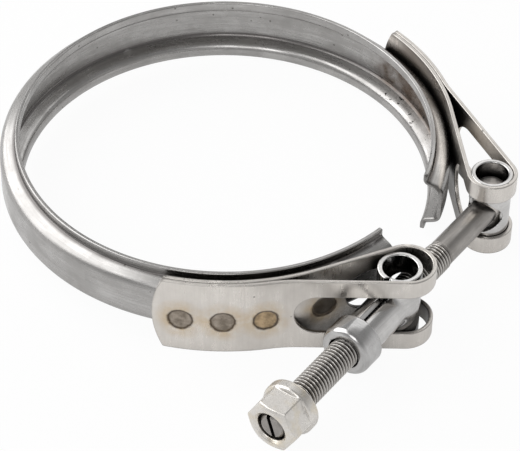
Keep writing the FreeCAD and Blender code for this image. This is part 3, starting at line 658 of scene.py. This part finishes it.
def build_collar():
    """The turned collar on the sleeve: a cup with a hole in its floor for the bolt."""
    front, back = COLLAR_LOW[1], COLLAR_HIGH[1]
    radius = (COLLAR_HIGH[0] - COLLAR_LOW[0]) / 2
    floor = front + 2
    # each corner: distance along the bolt, radius and the round there
    corners = [
        (front, SLEEVE_BORE, 0.3),
        (front, radius, 1.6),
        (back, radius, 0.6),
        (back, SLEEVE_RADIUS, 0.3),
        (floor, SLEEVE_RADIUS, 0.1),
        (floor, SLEEVE_BORE, 0.1),
    ]
    outline = rounded([c[:2] for c in corners], [c[2] for c in corners], 6)
    points, faces = lathe(outline, (BOLT_X, 0, 0), 160)
    return add_mesh("seat_collar", points, faces, "nut_seat", "nut_seat_collar", 35)


# ---------------------------------------------------------------- the bolt


def build_bolt():
    """Threaded end with a helix of real pitch, and the plain shank up to the cross head."""
    end = BOLT_LOW[1]
    start = THREAD_START
    around = 96
    step = PITCH / 12
    run_out, run_out_radius = 1.8, 3.6
    chamfer = 1.1
    ys = list(np.arange(end, start, step)) + [start]
    points = []
    for y in ys:
        for i in range(around):
            a = TAU * i / around
            phase = ((y - end) / PITCH - i / around) % 1.0
            ramp = np.interp(phase, [0, 0.05, 0.44, 0.56, 0.95, 1.0], [0, 0, 1, 1, 0, 0])
            r = THREAD_RADIUS - THREAD_DEPTH + THREAD_DEPTH * ramp
            lead = min(max((start - y) / run_out, 0), 1)
            r = run_out_radius * (1 - lead) + r * lead
            r = min(r, THREAD_RADIUS - chamfer + (y - end))
            points.append((BOLT_X + r * math.cos(a), y, r * math.sin(a)))
    # the plain shank up to the head
    shank = [start + 0.05, start + 0.3, PIVOT[1] - 3.0, PIVOT[1]]
    for y in shank:
        for i in range(around):
            a = TAU * i / around
            points.append((BOLT_X + SHANK_RADIUS * math.cos(a), y, SHANK_RADIUS * math.sin(a)))
    return points, ring_faces(len(ys) + len(shank), around)


def cut_slot(piece):
    """Takes the screwdriver slot out of the bolt's end."""
    turn = math.radians(108)
    width, depth, long = 1.1, 1.6, 12.0
    along = np.array([math.cos(turn), 0, math.sin(turn)])
    across = np.array([-math.sin(turn), 0, math.cos(turn)])
    base = np.array([BOLT_X, BOLT_LOW[1], 0.0])
    corners = []
    for y in (-1.0, depth):
        for u, v in ((-1, -1), (1, -1), (1, 1), (-1, 1)):
            corners.append(base + along * u * long / 2 + across * v * width / 2 + np.array([0, y, 0]))
    faces = [(0, 1, 2, 3), (7, 6, 5, 4), (0, 4, 5, 1), (1, 5, 6, 2), (2, 6, 7, 3), (3, 7, 4, 0)]
    mesh = bpy.data.meshes.new("slot_cutter")
    mesh.from_pydata((np.array(corners) * MM).tolist(), [], faces)
    cutter = bpy.data.objects.new("slot_cutter", mesh)
    bpy.context.scene.collection.objects.link(cutter)
    bm = bmesh.new()
    bm.from_mesh(mesh)
    bmesh.ops.recalc_face_normals(bm, faces=bm.faces)
    bm.to_mesh(mesh)
    bm.free()
    modifier = piece.modifiers.new("slot", "BOOLEAN")
    modifier.object = cutter
    modifier.operation = "DIFFERENCE"
    modifier.solver = "EXACT"
    graph = bpy.context.evaluated_depsgraph_get()
    cut = bpy.data.meshes.new_from_object(piece.evaluated_get(graph))
    piece.modifiers.clear()
    piece.data = cut
    bpy.data.objects.remove(cutter)
    piece.data.shade_smooth()
    piece.data.set_sharp_from_angle(angle=math.radians(40))


def build_head():
    """The cross head: a short bar along Z with domed ends, each with a small flat."""
    radius, half = 4.25, 7.5
    flat, dome = 2.1, 1.9
    steps = 8
    outline = [(half, 0.0), (half, flat)]
    for k in range(1, steps + 1):
        a = math.pi / 2 * k / steps
        outline.append((half - dome * (1 - math.cos(a)), flat + (radius - flat) * math.sin(a)))
    column = outline + [(-z, r) for z, r in reversed(outline)]
    around = 96
    smallest = 0.01
    points = []
    for z, r in column:
        reach = max(r, smallest)
        for i in range(around):
            a = TAU * i / around
            points.append((BOLT_X + reach * math.cos(a), PIVOT[1] + reach * math.sin(a), z))
    return points, ring_faces(len(column), around)


# ---------------------------------------------------------------- materials


class Nodes:
    """A short way to write a material's node tree; sockets and plain values both serve as inputs."""

    def __init__(self, name):
        self.material = bpy.data.materials.new(name)
        self.material.use_nodes = True
        self.tree = self.material.node_tree
        self.tree.nodes.clear()
        self.place = self.tree.nodes.new("ShaderNodeTexCoord").outputs["Object"]

    def add(self, kind, inputs=(), **settings):
        node = self.tree.nodes.new(kind)
        for key, value in settings.items():
            setattr(node, key, value)
        for place, source in enumerate(inputs):
            self.feed(node.inputs[place], source)
        return node

    def feed(self, socket, source):
        if isinstance(source, bpy.types.NodeSocket):
            self.tree.links.new(source, socket)
        elif isinstance(source, tuple) and len(socket.default_value) == 4:
            socket.default_value = (*source, 1.0)
        elif source is not None:
            socket.default_value = source

    def math(self, operation, *inputs):
        return self.add("ShaderNodeMath", inputs, operation=operation).outputs[0]

    def noise(self, vector, scale, detail=3.0, roughness=0.55):
        node = self.add("ShaderNodeTexNoise")
        for key, item in (("Vector", vector), ("Scale", scale), ("Detail", detail), ("Roughness", roughness)):
            self.feed(node.inputs[key], item)
        return node.outputs["Fac"]

    def remap(self, source, low, high, to_low=0.0, to_high=1.0):
        return self.add("ShaderNodeMapRange", (source, low, high, to_low, to_high)).outputs["Result"]

    def mix(self, factor, first, second):
        node = self.add("ShaderNodeMix", data_type="RGBA")
        self.feed(node.inputs[0], factor)
        self.feed(node.inputs[6], first)
        self.feed(node.inputs[7], second)
        return node.outputs[2]

    def turned(self, axis, middle, around):
        """Coordinates that draw noise out round an axis, and the radius and the distance along it."""
        split = self.add("ShaderNodeSeparateXYZ", (self.place,)).outputs
        others = [k for k in range(3) if k != axis]
        u = self.math("SUBTRACT", split[others[0]], middle[0] * MM)
        v = self.math("SUBTRACT", split[others[1]], middle[1] * MM)
        radius = self.hypot(u, v)
        angle = self.math("MULTIPLY", self.math("ARCTAN2", u, v), around * MM)
        vector = self.add("ShaderNodeCombineXYZ", (radius, split[axis], angle)).outputs[0]
        return vector, radius, split[axis]

    def hypot(self, u, v):
        squares = self.math("ADD", self.math("MULTIPLY", u, u), self.math("MULTIPLY", v, v))
        return self.math("POWER", squares, 0.5)

    def distance(self, point):
        return self.add("ShaderNodeVectorMath", (self.place, point), operation="DISTANCE").outputs["Value"]


# painted shade: the colour darkens where other surfaces close in within this many metres
PAINTED_SHADE_REACH = 0.012
# the openness at which the painted shade starts, at which it is full, and its full share
PAINTED_SHADE_LEVELS = (0.5, 0.2, 0.95)


def steel(
    name,
    colour,
    dark,
    rough,
    grain=None,
    streaks=0.35,
    bump=0.12,
    dress_up=None,
    edge_wear_and_highlight=0.15,
    pits=0.06,
    painted_shade=PAINTED_SHADE_LEVELS,
):
    """Stainless steel: streaks, cloudy polish, small pits, edges painted lighter as wear that also stands as
    painted highlight, and painted shade in creases and hollows.

    The last argument gives the openness at which painted shade starts, the openness at which it is full, and
    its full share.
    """
    n = Nodes(name)
    shader = n.add("ShaderNodeBsdfPrincipled")
    output = n.add("ShaderNodeOutputMaterial")
    n.feed(output.inputs["Surface"], shader.outputs[0])
    vector = grain(n) if grain else n.place
    lines = n.noise(vector, 1500, 3, 0.65)
    wide_lines = n.noise(vector, 420, 3, 0.5)
    cloud = n.noise(n.place, 110, 4, 0.6)
    speckle = n.noise(n.place, 1300, 3, 0.7)
    base = n.mix(n.remap(cloud, 0.36, 0.68, 0.0, 0.6), colour, dark)
    base = n.mix(n.remap(wide_lines, 0.38, 0.66, 0.0, streaks), base, dark)
    base = n.mix(n.remap(lines, 0.42, 0.68, 0.0, streaks), base, dark)
    if dress_up:
        base = dress_up(n, base)
    cells = n.add("ShaderNodeTexVoronoi")
    n.feed(cells.inputs["Vector"], n.place)
    n.feed(cells.inputs["Scale"], 420.0)
    chosen = n.add("ShaderNodeSeparateXYZ", (cells.outputs["Color"],)).outputs[0]
    near_centre = n.remap(cells.outputs["Distance"], 0.16, 0.08)
    pit = n.math("MULTIPLY", near_centre, n.remap(chosen, 1 - pits, 1.01 - pits))
    base = n.mix(n.math("MULTIPLY", pit, 0.7), base, (0.05, 0.045, 0.04))
    # painted shade: the colour darkens where ambient occlusion finds other surfaces close by
    hollow = n.add("ShaderNodeAmbientOcclusion", samples=8)
    n.feed(hollow.inputs["Distance"], PAINTED_SHADE_REACH)
    painted_shade_mask = n.remap(hollow.outputs["AO"], painted_shade[0], painted_shade[1], 0.0, painted_shade[2])
    base = n.mix(painted_shade_mask, base, tuple(c * 0.12 for c in dark))
    # painted shade in creases where the surface is hollow, then lighter edges as wear that also stand as
    # painted highlight
    shape = n.add("ShaderNodeNewGeometry").outputs["Pointiness"]
    base = n.mix(n.remap(shape, 0.49, 0.44, 0.0, 0.65), base, tuple(c * 0.25 for c in dark))
    base = n.mix(n.remap(shape, 0.52, 0.6, 0.0, edge_wear_and_highlight), base, tuple(min(1.0, c * 1.25) for c in colour))
    n.feed(shader.inputs["Base Color"], base)
    n.feed(shader.inputs["Metallic"], 1.0)
    uneven = n.math("ADD", n.remap(lines, 0.3, 0.7, 0.0, 0.1), n.remap(cloud, 0.3, 0.7, 0.0, 0.12))
    n.feed(shader.inputs["Roughness"], n.math("ADD", uneven, rough))
    height = n.math("ADD", n.math("MULTIPLY", wide_lines, 0.5), n.math("MULTIPLY", speckle, 0.35))
    height = n.math("SUBTRACT", height, pit)
    bumps = n.add("ShaderNodeBump")
    n.feed(bumps.inputs["Strength"], bump)
    n.feed(bumps.inputs["Distance"], 0.0001)
    n.feed(bumps.inputs["Height"], height)
    n.feed(shader.inputs["Normal"], bumps.outputs[0])
    return n.material


def weld_prints(prints, cores):
    """Round each print a dark burnt rim and straw to brown heat tint, with a mottled core."""

    def apply(n, base):
        ragged = n.math("MULTIPLY", n.math("SUBTRACT", n.noise(n.place, 600, 4, 0.6), 0.5), 0.0009)
        smoke = n.noise(n.place, 260, 4, 0.65)
        for point, core in zip(prints, cores):
            away = n.math("ADD", n.distance(point), ragged)
            halo = n.math("MULTIPLY", n.remap(away, 0.0072, 0.0032), n.remap(smoke, 0.35, 0.65, 0.15, 0.75))
            base = n.mix(halo, base, (0.56, 0.40, 0.20))
            inside = n.remap(away, 0.0031, 0.0027)
            mottled = n.mix(n.remap(smoke, 0.4, 0.6), core, tuple(c * 0.45 for c in core))
            base = n.mix(n.math("MULTIPLY", inside, 0.9), base, mottled)
            rim = n.math("MULTIPLY", n.remap(away, 0.0036, 0.0032), n.remap(away, 0.0026, 0.0030))
            base = n.mix(n.math("MULTIPLY", rim, 0.9), base, (0.045, 0.03, 0.02))
        return base

    return apply


def retainer_tint_and_shade(prints):
    """Painted shade in the bends; inside, brown tint and dark flecks behind the spot welds."""
    # the section's bends where shade is painted: radius, height and reach of the dark line
    inner_bend = (FLOOR_RADIUS - 0.3, FLOOR_HALF - 0.2, 1.1)
    outer_bend = (SEAT + SHEET + 0.3, 7.3, 1.0)

    def apply(n, base):
        _, radius, height = n.turned(2, (0, 0), 1.0)
        tall = n.math("ABSOLUTE", height)
        # painted shade along the inner and outer bends of the section
        for r, z, reach in (inner_bend, outer_bend):
            u = n.math("SUBTRACT", radius, r * MM)
            v = n.math("SUBTRACT", tall, z * MM)
            away = n.hypot(u, v)
            painted_bend_shade = n.remap(away, reach * MM, reach * MM * 0.3, 0.0, 0.75)
            base = n.mix(painted_bend_shade, base, (0.07, 0.062, 0.06))
        smoke = n.noise(n.place, 170, 4, 0.6)
        raised = n.remap(height, -0.0065, -0.0035)
        fleck = n.remap(n.noise(n.place, 800, 2, 0.5), 0.63, 0.68)
        low_bend = n.math("ABSOLUTE", n.math("ADD", height, 0.0055))
        fleck = n.math("MULTIPLY", fleck, n.remap(low_bend, 0.0022, 0.0006))
        for x, y, z in prints:
            scale = FLOOR_RADIUS * MM / math.hypot(x, y)
            away = n.distance((x * scale, y * scale, z))
            cloudy = n.remap(smoke, 0.36, 0.58, 0.35, 0.95)
            tint = n.math("MULTIPLY", n.remap(away, 0.0115, 0.0045), cloudy)
            base = n.mix(n.math("MULTIPLY", tint, raised), base, (0.085, 0.055, 0.035))
            near_weld = n.remap(away, 0.014, 0.008)
            base = n.mix(n.math("MULTIPLY", fleck, near_weld), base, (0.03, 0.028, 0.025))
        return base

    return apply


def thread_valleys_and_crests(n, base):
    """Darker in the thread's valleys, and lighter on its crests."""
    _, radius, along = n.turned(1, (BOLT_X, 0.0), 1.0)
    past_end = n.remap(along, (BOLT_LOW[1] + 0.3) * MM, (BOLT_LOW[1] + 0.6) * MM)
    before_shank = n.remap(along, (THREAD_START + 0.2) * MM, (THREAD_START - 0.4) * MM)
    threaded = n.math("MULTIPLY", past_end, before_shank)
    valley = n.math("MULTIPLY", n.remap(radius, 0.00372, 0.00342), threaded)
    base = n.mix(valley, base, (0.035, 0.03, 0.026))
    return n.mix(n.remap(radius, 0.0038, 0.00395, 0.0, 0.85), base, (0.72, 0.70, 0.67))


def plating(n, base):
    """A faint yellow cast in patches of the nut's plating."""
    patches = n.remap(n.noise(n.place, 260, 3, 0.6), 0.45, 0.7, 0.0, 0.5)
    return n.mix(patches, base, (0.70, 0.60, 0.42))


def dress(pieces, material):
    """Gives the pieces one material."""
    for piece in pieces:
        piece.data.materials.clear()
        piece.data.materials.append(material)


# ---------------------------------------------------------------- build the pieces

ring = build_retainer()
bolt_strap, bolt_prints = build_strap(
    "bolt_loop_strap", "bolt_side_strap", 1, BOLT_TIP, BOLT_LEAF_OFF, BOLT_LOOP, BOLT_LOOP_INSIDE
)
nut_strap, nut_prints = build_strap(
    "nut_loop_strap", "nut_side_strap", -1, NUT_TIP, NUT_LEAF_OFF, NUT_LOOP, NUT_LOOP_INSIDE
)
rolled = build_nut_trunnion()
barrel = build_bolt_trunnion()
nut = build_nut()
collar = build_collar()
points, faces = build_bolt()
bolt = add_mesh("t_bolt", points, faces, "bolt", "clamp_bolt", 40)
cut_slot(bolt)
points, faces = build_head()
head = add_mesh("t_bolt_head", points, faces, "bolt", "clamp_bolt", 40)


# ---------------------------------------------------------------- dress them

GREY_CORE = (0.36, 0.31, 0.26)
GOLD_CORE = (0.50, 0.36, 0.21)
DARK_CORE = (0.09, 0.075, 0.06)
CORES = [GREY_CORE, GREY_CORE, GOLD_CORE, DARK_CORE]


def around_ring(n):
    """Streaks that run round the ring."""
    return n.turned(2, (0, 0), 4.0)[0]


def around_bolt(n):
    """Turning marks round the bolt's axis."""
    return n.turned(1, (BOLT_X, 0.0), 1.5)[0]


def drawn_upright(n):
    """Streaks across the strap, along Z."""
    return n.add("ShaderNodeMapping", (n.place, (0, 0, 0), (0, 0, 0), (1, 1, 0.08))).outputs[0]


def drawn_along_bolt(n):
    """Streaks along the bolt."""
    return n.add("ShaderNodeMapping", (n.place, (0, 0, 0), (0, 0, 0), (1, 0.08, 1))).outputs[0]


ring_steel = steel(
    "retainer_steel",
    (0.52, 0.51, 0.50),
    (0.31, 0.30, 0.29),
    0.17,
    grain=around_ring,
    streaks=0.4,
    dress_up=retainer_tint_and_shade(bolt_prints[:WELD_COUNT]),
    edge_wear_and_highlight=0.4,
    pits=0.16,
)
strap_steel = steel(
    "strap_steel",
    (0.78, 0.745, 0.70),
    (0.60, 0.565, 0.53),
    0.2,
    grain=drawn_upright,
    streaks=0.25,
    dress_up=weld_prints(bolt_prints + nut_prints, CORES + CORES),
    edge_wear_and_highlight=0.4,
    # levels of the painted shade in hollows
    painted_shade=(0.52, 0.2, 0.93),
)
trunnion_steel = steel(
    "trunnion_steel",
    (0.72, 0.71, 0.70),
    (0.46, 0.45, 0.44),
    0.04,
    grain=drawn_along_bolt,
    streaks=0.3,
    bump=0.1,
    # levels of the painted shade in hollows
    painted_shade=(0.55, 0.25, 0.97),
)
collar_steel = steel(
    "collar_steel",
    (0.66, 0.655, 0.65),
    (0.42, 0.41, 0.405),
    0.1,
    grain=around_bolt,
    streaks=0.3,
    bump=0.1,
)
bolt_steel = steel(
    "bolt_steel",
    (0.42, 0.40, 0.38),
    (0.24, 0.225, 0.21),
    0.25,
    grain=drawn_along_bolt,
    streaks=0.4,
    dress_up=thread_valleys_and_crests,
)
head_steel = steel(
    "head_steel",
    (0.70, 0.66, 0.62),
    (0.46, 0.44, 0.42),
    0.3,
    streaks=0.3,
    bump=0.2,
    # levels of the painted shade in hollows
    painted_shade=(0.4, 0.1, 0.3),
)
nut_plate = steel(
    "nut_plate",
    (0.80, 0.775, 0.74),
    (0.62, 0.59, 0.55),
    0.22,
    streaks=0.25,
    dress_up=plating,
)
dress([ring], ring_steel)
dress([bolt_strap, nut_strap], strap_steel)
dress([rolled, barrel], trunnion_steel)
dress([collar], collar_steel)
dress([bolt], bolt_steel)
dress([head], head_steel)
dress([nut], nut_plate)


# ---------------------------------------------------------------- floor, light and camera


def seen_share(tree, camera_share, gloss_share):
    """The share of plain white that rays of the camera, and those off gloss or through glass, see."""
    path = tree.nodes.new("ShaderNodeLightPath")
    shares = []
    for name, share in (
        ("Is Camera Ray", camera_share),
        ("Is Glossy Ray", gloss_share),
        ("Is Transmission Ray", camera_share),
    ):
        scaled = tree.nodes.new("ShaderNodeMath")
        scaled.operation = "MULTIPLY"
        scaled.inputs[1].default_value = share
        tree.links.new(path.outputs[name], scaled.inputs[0])
        shares.append(scaled.outputs[0])
    total = shares[0]
    for share in shares[1:]:
        greater = tree.nodes.new("ShaderNodeMath")
        greater.operation = "MAXIMUM"
        tree.links.new(total, greater.inputs[0])
        tree.links.new(share, greater.inputs[1])
        total = greater.outputs[0]
    return total


def build_floor():
    """A plain pale floor under the part, which keeps the part's shadow."""
    low = CAD_BOX[0][2]
    size = 3.0
    mesh = bpy.data.meshes.new("floor")
    corners = [(-size, -size, low), (size, -size, low), (size, size, low), (-size, size, low)]
    mesh.from_pydata(corners, [], [(0, 1, 2, 3)])
    floor = bpy.data.objects.new("floor", mesh)
    bpy.context.scene.collection.objects.link(floor)
    material = bpy.data.materials.new("floor")
    material.use_nodes = True
    tree = material.node_tree
    tree.nodes.clear()
    diffuse = tree.nodes.new("ShaderNodeBsdfDiffuse")
    diffuse.inputs["Color"].default_value = (0.92, 0.92, 0.92, 1)
    glow = tree.nodes.new("ShaderNodeEmission")
    glow.inputs["Color"].default_value = (1, 1, 1, 1)
    glow.inputs["Strength"].default_value = 1.0
    mix = tree.nodes.new("ShaderNodeMixShader")
    tree.links.new(seen_share(tree, 0.95, 0.5), mix.inputs[0])
    tree.links.new(diffuse.outputs[0], mix.inputs[1])
    tree.links.new(glow.outputs[0], mix.inputs[2])
    output = tree.nodes.new("ShaderNodeOutputMaterial")
    tree.links.new(mix.outputs[0], output.inputs["Surface"])
    mesh.materials.append(material)


def build_world():
    """White to the camera; for the light and the gloss, pale at the horizon and dimmer overhead."""
    world = bpy.data.worlds.new("studio")
    bpy.context.scene.world = world
    world.use_nodes = True
    tree = world.node_tree
    tree.nodes.clear()
    way = tree.nodes.new("ShaderNodeTexCoord")
    split = tree.nodes.new("ShaderNodeSeparateXYZ")
    tree.links.new(way.outputs["Generated"], split.inputs[0])
    fade = tree.nodes.new("ShaderNodeMapRange")
    for place, value in enumerate((None, 0.1, 0.6, 0.75, 0.12)):
        if value is not None:
            fade.inputs[place].default_value = value
    tree.links.new(split.outputs[2], fade.inputs[0])
    soft = tree.nodes.new("ShaderNodeBackground")
    soft.inputs["Color"].default_value = (1, 1, 1, 1)
    tree.links.new(fade.outputs[0], soft.inputs["Strength"])
    white = tree.nodes.new("ShaderNodeBackground")
    white.inputs["Color"].default_value = (1, 1, 1, 1)
    white.inputs["Strength"].default_value = 1.0
    mix = tree.nodes.new("ShaderNodeMixShader")
    tree.links.new(seen_share(tree, 1.0, 0.25), mix.inputs[0])
    tree.links.new(soft.outputs[0], mix.inputs[1])
    tree.links.new(white.outputs[0], mix.inputs[2])
    output = tree.nodes.new("ShaderNodeOutputWorld")
    tree.links.new(mix.outputs[0], output.inputs["Surface"])


def build_lamps():
    """Soft boxes: a broad one at the camera's left, a smaller one over the camera, a weak one behind."""
    for name, place, size, power in (
        ("left_box", (-0.58, -0.13, 0.53), 0.95, 6.6),
        ("front_box", (0.25, -0.60, 0.80), 0.5, 2.0),
        ("back_box", (-0.1, 0.75, 0.55), 0.7, 1.2),
    ):
        lamp = bpy.data.lights.new(name, "AREA")
        lamp.shape = "SQUARE"
        lamp.size = size
        lamp.energy = power
        holder = bpy.data.objects.new(name, lamp)
        holder.location = place
        holder.rotation_mode = "QUATERNION"
        holder.rotation_quaternion = (-Vector(place)).to_track_quat("-Z", "Y")
        bpy.context.scene.collection.objects.link(holder)


def build_camera():
    """The camera at the photograph's viewing angle, fitted to it and then turned about Z."""
    turn = Matrix.Rotation(math.radians(36.1), 3, "Z")
    place = turn @ Vector((0.0, -0.50123, 0.43489))
    right = turn @ Vector((0.99988, -0.00666, 0.01387))
    up = turn @ Vector((-0.00570, 0.67663, 0.73630))
    back = right.cross(up)
    data = bpy.data.cameras.new("camera")
    data.sensor_width = 36
    data.sensor_fit = "HORIZONTAL"
    data.lens = 169.26
    data.clip_start, data.clip_end = 0.01, 20
    holder = bpy.data.objects.new("camera", data)
    holder.matrix_world = Matrix.Translation(place) @ Matrix((right, up, back)).transposed().to_4x4()
    bpy.context.scene.collection.objects.link(holder)
    bpy.context.scene.camera = holder


build_floor()
build_world()
build_lamps()
build_camera()
bpy.context.scene.view_settings.view_transform = "Standard"
